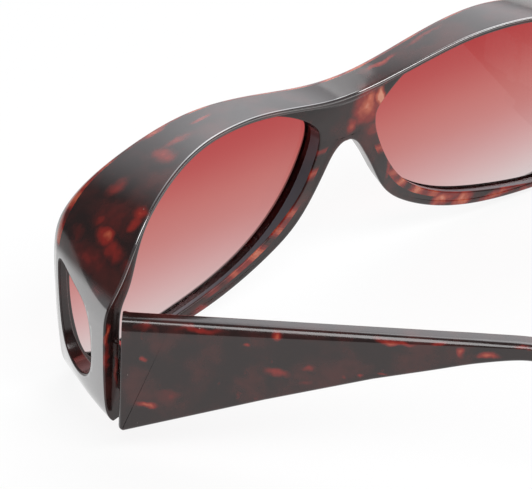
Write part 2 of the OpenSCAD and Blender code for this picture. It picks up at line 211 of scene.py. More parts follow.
# Red and orange patches in the front, as (across, back, up), reach each way in mm, strength
FRONT_PATCHES = [
    ((-4.8, 4, 19.2), (4.0, 3, 4.4), 0.95), ((-5.9, 4, 20.6), (2.4, 3, 3.0), 0.9),
    ((-8.4, 4, 20.4), (1.3, 3, 3.6), 1.25), ((-0.9, 4, 16.2), (1.8, 3, 2.0), 0.7),
    ((-6.5, 4, 13.5), (2.5, 3, 2.5), 0.5), ((68.9, 13.2, 19.9), (1.8, 2.6, 3), 0.78),
    ((69.8, 16.6, 18.7), (2.6, 3.6, 3), 0.54), ((67.3, 9.6, 21), (1.6, 1.8, 3), 0.45),
    ((63.8, 17.0, 24.7), (1.6, 2.8, 3), 0.7), ((65.7, 17.6, 23.5), (1.7, 2.0, 3), 0.62),
    ((60.8, 6.2, 24.6), (4.0, 2.2, 3), 0.42), ((66, 12, 22), (7, 9, 4), 0.3),
    ((71.5, 12, 15), (3, 9, 4), 0.36), ((70.1, 6.0, 17.4), (2.0, 2.6, 3), 0.33),
    ((70.4, 21.2, 17.8), (1.5, 2.0, 3), 0.33), ((74.4, 17.6, 11.2), (1.2, 2.2, 2), 0.6),
    ((46.5, -0.9, 28.5), (3.2, 0.9, 2), 0.9), ((37.4, 2.7, 29.9), (3.2, 1.0, 2), 0.6),
    ((45.9, 5.5, 29.4), (4.5, 1.6, 3), 0.5), ((50.4, 7.6, 28.7), (2.6, 3.6, 3), 0.6),
    ((-10.5, 0.6, 25.8), (5.5, 0.7, 2), 0.7), ((-22, 0.3, 28.2), (6, 0.8, 2), 0.5),
    ((35.1, 2.3, -15.6), (4.0, 3, 1.2), 0.6), ((-29, 2.3, -12.4), (4.2, 3, 1.8), 0.95),
    ((-34.8, 2.2, -14.4), (3.4, 3, 1.6), 0.95), ((-44.3, 2.3, -16.8), (6.5, 3, 1.3), 0.8),
    ((-52.9, 2.4, -18.6), (4.5, 3, 1.3), 0.65), ((-11.8, 3.7, 2), (0.8, 3, 3.4), 0.6),
    ((75.4, 22.5, 4.6), (0.7, 2, 2.6), 0.85), ((73.0, 22.5, -4.3), (0.6, 2, 3.4), 0.8),
    ((75.2, 22.5, -0.5), (0.6, 2, 4.5), 0.55)]

# The same in a temple, as (across, back from the screw line, up)
TEMPLE_PATCHES = [
    ((4.9, 3.9, -8.5), (2, 2.0, 0.75), 0.76), ((4.9, 3.5, 1.9), (2, 0.7, 0.9), 0.6),
    ((4.9, 22.5, 6.2), (2, 1.1, 0.5), 0.6), ((4.9, 28.5, 0.6), (2, 2.7, 1.3), 0.66),
    ((4.9, 34.4, 2.2), (2, 1.6, 0.8), 0.45), ((4.9, 34.3, -1.7), (2, 1.6, 0.7), 0.35),
    ((4.7, 28.1, 8.7), (2, 1.3, 1.0), 0.72), ((4.7, 3.3, 8.6), (2, 2.5, 1.0), 0.45),
    ((4.7, 13.7, 8.9), (2, 5.0, 0.8), 0.55), ((4.9, 8.5, -6.3), (2, 3.4, 1.6), 0.35),
    ((4.9, 63.2, 7.6), (2, 1.1, 1.5), 0.7), ((4.9, 68.4, 7.3), (2, 2.6, 0.9), 0.8),
    ((4.8, 50.7, 8.9), (2, 4.2, 0.7), 0.75), ((4.8, 59.0, 9.2), (2, 1.6, 0.6), 0.6),
    ((4.9, 44.5, 0.7), (2, 0.7, 0.6), 0.6), ((4.9, 41.4, 0.4), (2, 0.5, 0.6), 0.45),
    ((4.9, 48.6, 1.8), (2, 1.6, 0.5), 0.5), ((4.9, 74.7, 9.2), (2, 2.0, 0.5), 0.5)]

# How far noise moves the patches in mm, and how many reaches out a patch ends
PATCH_DRIFT = 2.8
PATCH_END = 1.6

# Noises in the tortoiseshell as (scale, detail)
DRIFT_NOISE = (0.26, 2)
FINE_NOISE = (0.55, 3)
FLECK_NOISE = (0.5, 3)
BROW_NOISE = (0.16, 2)
CLOUD_NOISE = (0.13, 4)
WAVE_NOISE = (0.8, 2)

# Pale specks: cells per mm, soft edge of a speck, and the soft limit that picks the rare ones
SPECK_SCALE = 0.45
SPECK_EDGE = (0.035, 0.06)
SPECK_RARE = (0.72, 0.8)

# Tortoiseshell, from its dark ground to the middle of a bright patch
DEEP = (0.018, 0.009, 0.0085)
WINE = (0.06, 0.014, 0.012)
DARK_RED = (0.1, 0.013, 0.011)
RED = (0.24, 0.018, 0.013)
ORANGE = (0.48, 0.10, 0.05)
PINK = (0.62, 0.25, 0.16)
PATCH_COLOURS = [(0.0, WINE), (0.3, DARK_RED), (0.55, RED), (0.82, ORANGE), (1.0, PINK)]
SPECK = (0.45, 0.36, 0.33)
# Painted reflection: a light grey mixed into the side shield's outer skin, as if it mirrored the
# bright room, and its share there
SHIELD_REFLECTION_GREY = (0.1, 0.092, 0.093)
SHIELD_REFLECTION_SHARE = 0.8
# Painted reflection: a bluish grey in the wall behind the lens, as if it mirrored the lens's bright
# edge
LENS_WALL_REFLECTION_GREY = (0.085, 0.088, 0.1)
FRONT_COAT_IOR = 2.8
TEMPLE_COAT = 0.25
PLASTIC_IOR = 1.5

# Light that comes through the whole lens, from its lowest point to its highest
TINT = [
    (0.0, (0.72, 0.66, 0.66)), (0.2, (0.67, 0.435, 0.43)), (0.33, (0.63, 0.317, 0.31)),
    (0.45, (0.59, 0.23, 0.218)), (0.6, (0.552, 0.168, 0.155)), (0.8, (0.482, 0.084, 0.082)),
    (1.0, (0.44, 0.046, 0.05))]
TINT_UNEVEN = 0.03
LENS_SHEEN = 0.018
LENS_SHEEN_AT_EDGE = 0.5

# Hinge metal: colours from stained to clean, and stretch and scale of its draw lines
WORN_STEEL = [(0.3, (0.5, 0.49, 0.48)), (0.7, (0.66, 0.65, 0.64))]
DRAW_STRETCH = (1, 1, 0.08)
DRAW_SCALE = 9000
EASED_EDGE = 0.08 * MM

# The photograph's camera, found from the glasses' own symmetry. It looks at the drawing
# frame's origin; its place is an azimuth and an elevation as in direction().
IMAGE_W, IMAGE_H = 532, 489
FOCAL_PX = 4404.03
CENTRE_PX = (331.768, 185.891)
CAMERA_AT = (138.0915, 31.3088)
CAMERA_ROLL = 3.3883
CAMERA_DISTANCE = 897.509

# Light: soft panels as (name, place, size in metres, watts), and the world's broad glow,
# which falls from full to nothing between the two angles of its reach
PANELS = [
    ("panel_behind", (172, 57), (1.5, 0.45), 13.5),
    ("panel_right", (-66, 51), (0.6, 0.5), 2)]
PANEL_DISTANCE = 1.2
PANEL_TARGET = (0.03, -0.03, 0.02)
GLOW_AT = (-47, 36)
GLOW_REACH = (42, 8)
GLOW = 2.4
WORLD_DIM = 0.18
WORLD_COLOUR = (0.96, 0.97, 1, 1)

FLOOR_HALF = 3.0
FLOOR_LEVEL = -0.3 * MM
FLOOR_WHITE = 0.88


# ---- Curves and outlines ----

def catmull_rom(a, b, c, d, t):
    """The point a share t of the way from b to c, on the curve through all four."""
    return 0.5 * (2 * b + (c - a) * t + (2 * a - 5 * b + 4 * c - d) * t ** 2
                  + (3 * b - a - 3 * c + d) * t ** 3)


def closed_curve(points, steps):
    """Curve through a closed list of points or numbers."""
    p = np.array(points, float).reshape(len(points), -1)
    t = (np.arange(steps) / steps)[:, None]
    a, b, c, d = (np.roll(p, by, axis=0)[:, None, :] for by in (1, 0, -1, -2))
    return catmull_rom(a, b, c, d, t).reshape(len(points) * steps, -1)


def open_curve(points, steps):
    """Curve from the first point of a list to its last."""
    p = np.array(points, float)
    p = np.vstack([2 * p[0] - p[1], p, 2 * p[-1] - p[-2]])[:, None, :]
    t = (np.arange(steps) / steps)[:, None]
    curve = catmull_rom(p[:-3], p[1:-2], p[2:-1], p[3:], t)
    return np.vstack([curve.reshape(-1, 2), p[-2]])


def smoothed(loop, sigma):
    """Closed list of points, evened out over sigma places each way."""
    n = len(loop)
    k = np.arange(n)
    k = np.minimum(k, n - k)
    kernel = np.exp(-0.5 * (k / sigma) ** 2)
    kernel /= kernel.sum()
    spectrum = np.fft.rfft(kernel)[:, None] * np.fft.rfft(loop, axis=0)
    return np.fft.irfft(spectrum, n, axis=0)


def even_loop(points):
    """Closed curve through one of the lists above, with its kinks evened out."""
    return smoothed(closed_curve(points, ROW_STEPS), EVENNESS * ROW_STEPS)


def unit(v):
    return v / np.maximum(np.linalg.norm(v, axis=-1, keepdims=True), 1e-9)


def inward(loop):
    """Direction into a clockwise outline, at each of its points."""
    d = unit(np.roll(loop, -1, axis=0) - np.roll(loop, 1, axis=0))
    return np.stack([d[:, 1], -d[:, 0]], axis=1)


def at_y(flat, y):
    """Points across and up, at a depth."""
    return np.stack([flat[:, 0], np.broadcast_to(y, len(flat)), flat[:, 1]], axis=1)


def ramp_between(value, low, high):
    """0 below the first limit, 1 above the second, and smooth between them."""
    t = np.clip((value - low) / (high - low), 0, 1)
    return t * t * (3 - 2 * t)


def band(value, rise, fall):
    """1 between two soft steps and 0 outside them."""
    return ramp_between(value, *rise) * (1 - ramp_between(value, *fall))


def at_least(least, part):
    """A part from 0 to 1, brought to run from the least value to 1."""
    return least + (1 - least) * part


opening = even_loop(OPENING)
front_edge = even_loop(FRONT_EDGE)
rear_edge = even_loop(REAR_EDGE)
# The curve may swing past the points of its list, but not past the frame's width and depth
rear_edge[:, 0] = np.minimum(rear_edge[:, 0], FRAME_W / 2)
rear_edge[:, 1] = np.minimum(rear_edge[:, 1], SHIELD_DEPTH)
shares = even_loop(SHARES)
face_y = even_loop(FACE_Y)[:, 0]
widening = even_loop(FLARE)

# Zero of the row frame: the lowest point of the rims, in the middle of the overall depth
RIM_LOW = -min(closed_curve(edge, 4)[:, 2].min() for edge in (FRONT_EDGE, REAR_EDGE))
MID_Y = RIM_FRONT - cad_box[0].y / MM


def place(points):
    """Drawing frame in millimetres to row frame in metres."""
    return (np.asarray(points, float) + np.array([0, -MID_Y, RIM_LOW])) * MM


def by_share(sizes):
    """A size given for (shelf, side shield, rim), at each section of the front."""
    return shares @ np.array(sizes)


# ---- Meshes ----

def new_mesh(name, verts, faces):
    mesh = bpy.data.meshes.new(name)
    mesh.from_pydata([tuple(v) for v in verts], [], [tuple(f) for f in faces])
    mesh.update()
    return mesh


def new_object(name, mesh):
    obj = bpy.data.objects.new(name, mesh)
    bpy.context.scene.collection.objects.link(obj)
    return obj


def face_outwards(mesh):
    bm = bmesh.new()
    bm.from_mesh(mesh)
    bmesh.ops.recalc_face_normals(bm, faces=bm.faces)
    bm.to_mesh(mesh)
    bm.free()


def grid_faces(rows, cols):
    """Quads of a grid that closes on itself both ways."""
    i, j = np.meshgrid(np.arange(rows), np.arange(cols), indexing="ij")
    next_row, next_col = (i + 1) % rows, (j + 1) % cols
    quads = [i * cols + j, i * cols + next_col, next_row * cols + next_col, next_row * cols + j]
    return np.stack(quads, axis=-1).reshape(-1, 4)


def stack_mesh(name, rings):
    """Closed mesh from a stack of rings with a cap on both ends."""
    n = len(rings[0])
    faces = []
    for k in range(len(rings) - 1):
        for j in range(n):
            a, b = k * n + j, k * n + (j + 1) % n
            faces.append((a, b, b + n, a + n))
    faces.append(tuple(range(n))[::-1])
    faces.append(tuple(range((len(rings) - 1) * n, len(rings) * n)))
    mesh = new_mesh(name, np.concatenate(rings), faces)
    face_outwards(mesh)
    return mesh


def mark_faces(mesh, name, values):
    """Gives each face of a grid a number that a material can read."""
    layer = mesh.attributes.new(name, "FLOAT", "FACE")
    layer.data.foreach_set("value", values.astype(float).ravel())


def cut_away(obj, cutter):
    """Takes the cutter's space out of a piece and deletes the cutter."""
    bpy.context.view_layer.update()
    mod = obj.modifiers.new("cut", "BOOLEAN")
    mod.operation = "DIFFERENCE"
    mod.solver = "MANIFOLD"
    mod.object = cutter
    depsgraph = bpy.context.evaluated_depsgraph_get()
    mesh = bpy.data.meshes.new_from_object(obj.evaluated_get(depsgraph))
    obj.modifiers.clear()
    obj.data = mesh
    bpy.data.objects.remove(cutter)


def smooth_shading(mesh, degrees):
    """Smooth faces, with a sharp edge wherever they meet at more than an angle."""
    mesh.polygons.foreach_set("use_smooth", [True] * len(mesh.polygons))
    mesh.set_sharp_from_angle(angle=math.radians(degrees))
    mesh.update()


def even_normals(obj):
    """Lets large faces rule the shading, so that flat walls look flat up to their round edges."""
    mod = obj.modifiers.new("normals", "WEIGHTED_NORMAL")
    mod.mode = "FACE_AREA"
    mod.weight = 50
    mod.keep_sharp = True


# ---- Front ----

def front_rails():
    """The corners of the front's sections as rails, for rounded_sections."""
    flat_front = front_edge[:, [0, 2]]
    flat_rear = rear_edge[:, [0, 2]]
    into = unit(smoothed(inward(flat_front), 0.5 * ROW_STEPS))
    out_of = inward(opening)
    depth = np.maximum(rear_edge[:, 1], face_y + LEAST_FACE)
    reach = (face_y - front_edge[:, 1]) / np.maximum(depth - front_edge[:, 1], LEAST_FACE)
    skin = flat_front + (flat_rear - flat_front) * np.minimum(reach, 1)[:, None]
    wall_root = skin + into * by_share((SHELF_T, SHIELD_T, RIM_WALL))[:, None]
    wall_edge = flat_rear + into * by_share((SHELF_EDGE_T, TEMPLE_T, RIM_WALL))[:, None]
    belly = at_y(-into * by_share((0, SHIELD_BELLY, 0))[:, None], 0)
    bevel = FRONT_BEVEL * (1 + BEVEL_GROWTH * (front_edge[:, 1] - RIM_FRONT - FRONT_BEVEL))
    groove = opening - out_of * GROOVE
    half = LENS_T / 2
    rear_r, front_r = by_share(REAR_RADII), by_share(FRONT_RADII)
    return [
        (at_y(opening - out_of * widening, RIM_FRONT), 0.35, 4, 0),  # Opening in the rim's front
        (at_y(opening, -half), 0.1, 2, 0),                           # Front lip of the groove
        (at_y(groove, -half), 0, 1, 0),                              # Floor of the groove
        (at_y(groove, half), 0, 1, 0),
        (at_y(opening, half), 0.1, 2, 0),                            # Rear lip of the groove
        (at_y(opening, face_y), 0.4, 2, 0),                          # Opening in the rim's back
        (at_y(wall_root, face_y), 0.7, 10, 0),                       # Root of shelf or shield
        (at_y(wall_edge, depth), rear_r, 3, 0),                      # Their rear edge, inside
        (at_y(flat_rear, depth), rear_r, 16, belly),                 # Their rear edge, outside
        (at_y(flat_front, front_edge[:, 1]), front_r, 3, 0),         # Front outer edge
        (at_y(flat_front + into * bevel[:, None], RIM_FRONT), front_r, 4, 0)]


def rounded_sections(rails):
    """Rows of points round each section: corners as arcs, long faces cut into strips.

    A rail is its corners, their radii, the strips that follow it, and how far these bulge.
    The second result names the rail of each column: k on its round edge, k + 0.5 on its strips.
    """
    corners = [rail[0] for rail in rails]
    starts, ends = [], []
    for k, (corner, radius, _, _) in enumerate(rails):
        before, after = corners[k - 1] - corner, corners[(k + 1) % len(rails)] - corner
        room = np.minimum(np.linalg.norm(before, axis=1), np.linalg.norm(after, axis=1))
        cut = np.minimum(radius, room * MOST_CUT)[:, None]
        starts.append(corner + unit(before) * cut)
        ends.append(corner + unit(after) * cut)
    columns, rail_of = [], []
    for k, (corner, radius, strips, bulge) in enumerate(rails):
        if np.max(radius) > 0:
            columns += [starts[k] * (1 - t) ** 2 + 2 * corner * t * (1 - t) + ends[k] * t ** 2
                        for t in np.linspace(0, 1, EDGE_STEPS)]
            rail_of += [k] * (EDGE_STEPS - 1)
        else:
            columns.append(corner)
        following = starts[(k + 1) % len(rails)]
        columns += [ends[k] + (following - ends[k]) * t + bulge * 4 * t * (1 - t)
                    for t in np.arange(1, strips) / strips]
        rail_of += [k + 0.5] * strips
    return np.stack(columns, axis=1), np.array(rail_of)


def mark_front(mesh, rows, rail_of):
    """Marks on the faces of the front, which its material reads."""
    row = np.arange(rows)[:, None] / ROW_STEPS
    outer_skin = (rail_of == REAR_CORNER + 0.5) | (rail_of == FRONT_CORNER)
    # The side shield's outer skin: where its coat lies, and where its painted reflection is mixed
    # in
    shield = band(row, *SHIELD_ROWS) * outer_skin
    shelf_edge = (1 - band(row, *NO_SHELF_ROWS)) * (rail_of == REAR_CORNER)
    # Painted light: the brow's front outer edge made lighter and pinker
    brow_edge_light = (1 - ramp_between(row, *BROW_END)) * (rail_of == FRONT_CORNER)
    # Painted reflection in the wall behind the lens: full in the rims, weaker elsewhere
    lens_wall_reflection = at_least(LENS_WALL_REFLECTION_LEAST, band(row, *RIM_ROWS)) * (rail_of == LENS_WALL + 0.5)
    # Painted light: bright streaks along the rim's inner rear edge, as of light through the plastic
    light_streak = sum(strength * np.exp(-((row - at) / reach) ** 2) for at, reach, strength in LIGHT_STREAKS)
    first_strip = (rail_of == RIM_EDGE + 0.5) & (np.roll(rail_of, 1) == RIM_EDGE)
    mark_faces(mesh, "shield", shield)
    mark_faces(mesh, "polish", np.maximum(shield, SHELF_EDGE_POLISH * shelf_edge))
    mark_faces(mesh, "brow_edge_light", brow_edge_light)
    mark_faces(mesh, "lens_wall_reflection", lens_wall_reflection)
    mark_faces(mesh, "light_streak", np.minimum(light_streak, 1) * ((rail_of == RIM_EDGE) | first_strip))


def window_cutter(shell_mesh):
    """A plug through the side shield whose ends flare out, so that the window's edges are round."""
    tree = BVHTree.FromPolygons([v.co for v in shell_mesh.vertices],
                                [p.vertices for p in shell_mesh.polygons])
    outline = smoothed(closed_curve(WINDOW, 8), 3)
    grow = inward(outline)
    # Where a look starts across, its way, and how far back it keeps
    sides = {"outer": (90, -1, -math.inf), "inner": (62, 1, 2.6)}

    def ring(by, depth, side):
        """The outline, wider by a size, at a depth under one skin of the shield.

        The skin is found by a look across, from outside or from between the shields. The
        look from between them keeps behind the rim, which would be in its way.
        """
        look_from, way, look_behind = sides[side]
        points = []
        for y, z in outline - grow * by:
            origin = Vector(place([(look_from, max(y, look_behind), z)])[0])
            hit = tree.ray_cast(origin, Vector((way, 0, 0)))[0]
            points.append((hit.x / MM + way * depth, y, z))
        return place(points)

    r = WINDOW_ROUND
    rounded = [(r * (1 - math.sin(a)), r * (1 - math.cos(a)))
               for a in np.radians([10, 30, 50, 70, 90])]
    # From well above the skin straight down to it, and then round the edge into the wall
    wide = rounded[0][0] + 0.3
    end = [(wide, -3), (wide, -0.25)] + rounded
    rings = [ring(*step, "outer") for step in end] + [ring(*step, "inner") for step in end[::-1]]
    return new_object("window_cut", stack_mesh("window_cut", rings))


def leaf_seat_cutter():
    """The flat seat of the hinge leaf in the inner face of the end piece, open to the back."""
    low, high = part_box("hinge_front_leaf_left")
    x0, x1 = FRAME_W / 2 - TEMPLE_T - 3, FRAME_W / 2 - TEMPLE_T
    y0, y1 = low.y / MM + MID_Y - SEAT_PLAY, SHIELD_DEPTH + 1
    base = np.array([(x0, y0, 0), (x1, y0, 0), (x1, y1, 0), (x0, y1, 0)])
    levels = (low.z / MM - RIM_LOW - SEAT_PLAY, high.z / MM - RIM_LOW + SEAT_PLAY)
    rings = [place(base + np.array([0, 0, z])) for z in levels]
    return new_object("seat_cut", stack_mesh("seat_cut", rings))


def join_to_mirror_image(mesh):
    """Cuts a left half off at the middle and joins it to its mirror image."""
    bm = bmesh.new()
    bm.from_mesh(mesh)
    bmesh.ops.bisect_plane(
        bm, geom=bm.verts[:] + bm.edges[:] + bm.faces[:], dist=1e-7,
        plane_co=(0, 0, 0), plane_no=(1, 0, 0), clear_inner=True)
    for v in bm.verts:
        if abs(v.co.x) < 2e-6:
            v.co.x = 0
    other = bmesh.ops.duplicate(bm, geom=bm.verts[:] + bm.edges[:] + bm.faces[:])["geom"]
    for v in other:
        if isinstance(v, bmesh.types.BMVert):
            v.co.x = -v.co.x
    bmesh.ops.reverse_faces(bm, faces=[f for f in other if isinstance(f, bmesh.types.BMFace)])
    bmesh.ops.remove_doubles(bm, verts=[v for v in bm.verts if v.co.x == 0], dist=1e-6)
    bm.to_mesh(mesh)
    bm.free()


def build_front():
    """Both halves of the front as one smooth moulding."""
    sections, rail_of = rounded_sections(front_rails())
    rows, cols = sections.shape[:2]
    mesh = new_mesh("front_half", place(sections.reshape(-1, 3)), grid_faces(rows, cols))
    face_outwards(mesh)
    mark_front(mesh, rows, rail_of)
    moulding = new_object("front", mesh)
    cut_away(moulding, window_cutter(mesh))
    cut_away(moulding, leaf_seat_cutter())
    join_to_mirror_image(moulding.data)
    smooth_shading(moulding.data, degrees=40)
    even_normals(moulding)
    return moulding


# ---- Lenses ----

def build_lens(name, side):
    """A lens: flat at the back, domed in front, its edge in the rim's groove."""
    out_of = inward(opening)
    edge = opening - out_of * (GROOVE - LENS_PLAY)
    lip = opening + out_of * LENS_LIP
    half = LENS_T / 2 - LENS_PLAY
    middle = np.array(LENS_MIDDLE)
    back = [at_y(middle + (lip - middle) * s, half) for s in np.linspace(0.02, 1, 14)]
    dome = [at_y(middle + (lip - middle) * s, -half - LENS_BULGE * (1 - s * s))
            for s in np.linspace(1, 0.02, 24)]
    rings = back + [at_y(edge, half), at_y(edge, -half)] + dome
    mesh = stack_mesh(name, [place(r * np.array([side, 1, 1])) for r in rings])
    smooth_shading(mesh, degrees=30)
    return new_object(name, mesh)


# ---- Temples ----

def temple_outline():
    """Side outline of a temple as (back from the screw line, up from its top edge)."""
    _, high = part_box("temple_right")
    length = high.y / MM + MID_Y - PIN_Y - TIP_CLEAR
    k = (length - BEND) / DRAWN_TIP_L
    start = SHIELD_DEPTH + 0.2 - PIN_Y
    slim = TEMPLE_SLIM_H
    top = [(start, 0), (10, 0), (20, 0), (30, 0), (40, 0), (50, 0), (60, 0), (BEND - 8, 0)]
    tip = [(BEND + 2 * k, -0.3), (BEND + 8 * k, -2.4), (BEND + 14.4 * k, -6.1),
           (BEND + 19 * k, -DROP + 0.9), (length, -DROP - 1.1),
           (BEND + 19.5 * k, -DROP - 2.8), (BEND + 17.2 * k, -DROP - 2.9),
           (BEND + 12.6 * k, -slim - 6.1), (BEND + 6 * k, -slim - 1.5), (BEND, -slim)]
    underside = [(BEND - 9, -slim - 1.2), (BEND - 18.6, -slim - 3.6), (BEND - 29, -slim - 6.2)]
    taper = [(BEND - 49.4, -TEMPLE_H + (TEMPLE_H - slim) * 0.42)]
    r = HINGE_CORNER_R
    corner = [(start + r * (1 - math.sin(a)), -TEMPLE_H + r * (1 - math.cos(a)))
              for a in np.radians([0, 22, 45, 68, 90])]
    curve = open_curve(top + tip + underside, TEMPLE_STEPS)
    return np.vstack([curve, taper, corner]), high.z / MM - RIM_LOW


def round_edge(depth, radius):
    """How far an edge of a radius has drawn back at a depth under the face."""
    t = np.clip(radius - depth, 0, radius)
    return radius - np.sqrt(radius * radius - t * t)


def temple_rings(outline, top):
    """Rings across the thickness: round inner edges, and outside a crown along the top."""
    x0, x1 = FRAME_W / 2 - TEMPLE_T, FRAME_W / 2
    into = inward(outline)
    up_share = np.clip(-into[:, 1], 0, 1) ** 2
    from_tip = (outline[:, 0].max() - outline[:, 0]) / TIP_FADE
    room = at_least(TIP_ROUND_LEAST, np.clip(from_tip, 0, 1))
    crown_size = at_least(CROWN_LEAST, np.clip(1 - outline[:, 0] / BEND, 0, 1)) * room
    length, tilt = np.array(CROWN).T
    tilt = np.radians(tilt)
    across = np.concatenate([[0], np.cumsum(length * np.sin(tilt))])
    down = np.concatenate([[0], np.cumsum(length * np.cos(tilt))])

    rings = []
    for a in np.radians(np.linspace(90, 0, 6)):
        x = np.full(len(outline), x0 + INNER_R * (1 - math.sin(a)))
        rings.append((x, outline + into * (room * INNER_R * (1 - math.cos(a)))[:, None]))
    for dx, dz in zip(across[-1] - across, down):
        depth = dx * at_least(CROWN_DEPTH_LEAST, crown_size)
        edge = np.where(into[:, 1] > 0, round_edge(depth, OUTER_R), round_edge(depth, END_R))
        by = up_share * dz * crown_size + (1 - up_share) * edge * room
        drawn_in = outline + into * by[:, None]
        # The top corner at the hinge draws back both ways
        drawn_in[0] = outline[0] + (round_edge(depth[0], END_R), -dz * crown_size[0])
        rings.append((x1 - depth, drawn_in))
    return [np.stack([x, PIN_Y + flat[:, 0], top + flat[:, 1]], axis=1) for x, flat in rings]


def knuckle_cutter(side):
    """Room for the hinge knuckles and the screw head."""
    low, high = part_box("hinge_front_leaf_left")
    turns = np.linspace(0, 2 * math.pi, 48, endpoint=False)
    circle = np.stack([PIN_X + KNUCKLE_ROOM_R * np.cos(turns),
                       PIN_Y + KNUCKLE_ROOM_R * np.sin(turns), np.zeros_like(turns)], axis=1)
    levels = (low.z / MM - RIM_LOW - KNUCKLE_ROOM_BELOW, high.z / MM - RIM_LOW + KNUCKLE_ROOM_ABOVE)
    rings = [place((circle + np.array([0, 0, z])) * np.array([side, 1, 1])) for z in levels]
    return new_object("knuckle_cut", stack_mesh("knuckle_cut", rings))


def build_temple(name, side, angle):
    """A temple in its place: a crowned bar with room for the knuckles at its hinge end."""
    outline, top = temple_outline()
    c, s = math.cos(math.radians(angle)), math.sin(math.radians(angle))
    turned = []
    for ring in temple_rings(outline, top):
        d = ring - np.array([PIN_X, PIN_Y, 0])
        x = d[:, 0] * c - d[:, 1] * s + PIN_X
        y = d[:, 0] * s + d[:, 1] * c + PIN_Y
        turned.append(place(np.stack([x * side, y, d[:, 2]], axis=1)))
    temple = new_object(name, stack_mesh(name, turned))
    cut_away(temple, knuckle_cutter(side))
    smooth_shading(temple.data, degrees=28)
    even_normals(temple)
    return temple


# ---- Hinges ----

def ease_edges(obj):
    """Breaks the sharp edges of a small metal part."""
    weld = obj.modifiers.new("weld", "WELD")
    weld.merge_threshold = 1e-6
    bevel = obj.modifiers.new("eased", "BEVEL")
    bevel.width = EASED_EDGE
    bevel.segments = 2
    bevel.limit_method = "ANGLE"
    bevel.angle_limit = math.radians(40)


# ---- Material nodes ----

def set_inputs(tree, node, inputs):
    """Sets inputs, by name or number, to values or links them to other nodes' sockets."""
    for key, value in dict(inputs).items():
        if isinstance(value, bpy.types.NodeSocket):
            tree.links.new(value, node.inputs[key])
        else:
            node.inputs[key].default_value = value


def node_of(tree, kind, inputs=(), **settings):
    node = tree.nodes.new(kind)
    for key, value in settings.items():
        setattr(node, key, value)
    set_inputs(tree, node, inputs)
    return node


def object_coords(tree):
    return node_of(tree, "ShaderNodeTexCoord").outputs["Object"]


def mark_of(tree, name):
    """A number that mark_faces gave to the faces."""
    return node_of(tree, "ShaderNodeAttribute", attribute_name=name).outputs["Fac"]


def math_of(tree, operation, *values):
    return node_of(tree, "ShaderNodeMath", enumerate(values), operation=operation).outputs[0]


def vector_of(tree, operation, *values):
    node = node_of(tree, "ShaderNodeVectorMath", enumerate(values), operation=operation)
    return node.outputs["Value" if operation in ("LENGTH", "DOT_PRODUCT") else "Vector"]


def noise_of(tree, where, scale, detail, output="Fac"):
    node = node_of(tree, "ShaderNodeTexNoise", {"Vector": where, "Scale": scale, "Detail": detail})
    return node.outputs[output]


def range_of(tree, value, low, high, to_low=0.0, to_high=1.0):
    """Smooth step from one value to another between two limits."""
    node = node_of(tree, "ShaderNodeMapRange", {
        "Value": value, "From Min": low, "From Max": high, "To Min": to_low, "To Max": to_high},
        interpolation_type="SMOOTHSTEP")
    return node.outputs["Result"]


def ramp_of(tree, value, stops):
    """Colour ramp through (place, colour) stops."""
    node = node_of(tree, "ShaderNodeValToRGB", {"Fac": value})
    elements = node.color_ramp.elements
    elements[0].position = stops[0][0]
    elements[1].position = stops[-1][0]
    for position, _ in stops[1:-1]:
        elements.new(position)
    for stop, (_, colour) in zip(elements, stops):
        stop.color = tuple(colour) + (1,)
    return node.outputs["Color"]


def mix_of(tree, share, a, b):
    """Mix of two colours, each a socket or (red, green, blue)."""
    a, b = (c if isinstance(c, bpy.types.NodeSocket) else c + (1,) for c in (a, b))
    return node_of(tree, "ShaderNodeMix", {0: share, 6: a, 7: b}, data_type="RGBA").outputs[2]


def bump_of(tree, height, strength):
    inputs = {"Strength": strength, "Distance": 0.02 * MM, "Height": height}
    return node_of(tree, "ShaderNodeBump", inputs).outputs["Normal"]


def use_surface(tree, share, a, b):
    """Makes a mix of two shaders the material's surface."""
    mix = node_of(tree, "ShaderNodeMixShader", {0: share, 1: a, 2: b})
    tree.links.new(mix.outputs[0], tree.nodes["Material Output"].inputs["Surface"])


def new_material(name):
    """A new material, its node tree and its shader."""
    mat = bpy.data.materials.new(name)
    mat.use_nodes = True
    return mat, mat.node_tree, mat.node_tree.nodes["Principled BSDF"]


def give(obj, mat):
    obj.data.materials.clear()
    obj.data.materials.append(mat)


# ---- Materials ----

def in_drawing(tree, coords):
    """Object coordinates in metres to the drawing frame in millimetres."""
    mm = vector_of(tree, "MULTIPLY", coords, (1 / MM, 1 / MM, 1 / MM))
    return vector_of(tree, "ADD", mm, (0, MID_Y, -RIM_LOW))


def in_temple(side, angle):
    """Object coordinates to a temple's own frame: screw line at zero, temple unfolded."""
    def place_in(tree, coords):
        drawn = vector_of(tree, "MULTIPLY", in_drawing(tree, coords), (side, 1, 1))
        from_pin = vector_of(tree, "SUBTRACT", drawn, (PIN_X, PIN_Y, 0))
        inputs = {"Vector": from_pin, "Angle": -math.radians(angle)}
        turn = node_of(tree, "ShaderNodeVectorRotate", inputs, rotation_type="Z_AXIS")
        return turn.outputs["Vector"]
    return place_in


def patches_of(tree, where, patches):
    """Height of the patches at a point: 1 in the middle of a strong one, 0 outside."""
    field = 0.0
    for centre, reach, strength in patches:
        off = vector_of(tree, "SUBTRACT", where, centre)
        size = vector_of(tree, "LENGTH", vector_of(tree, "DIVIDE", off, reach))
        field = math_of(tree, "MAXIMUM", field, range_of(tree, size, 0, PATCH_END, strength, 0))
    return field


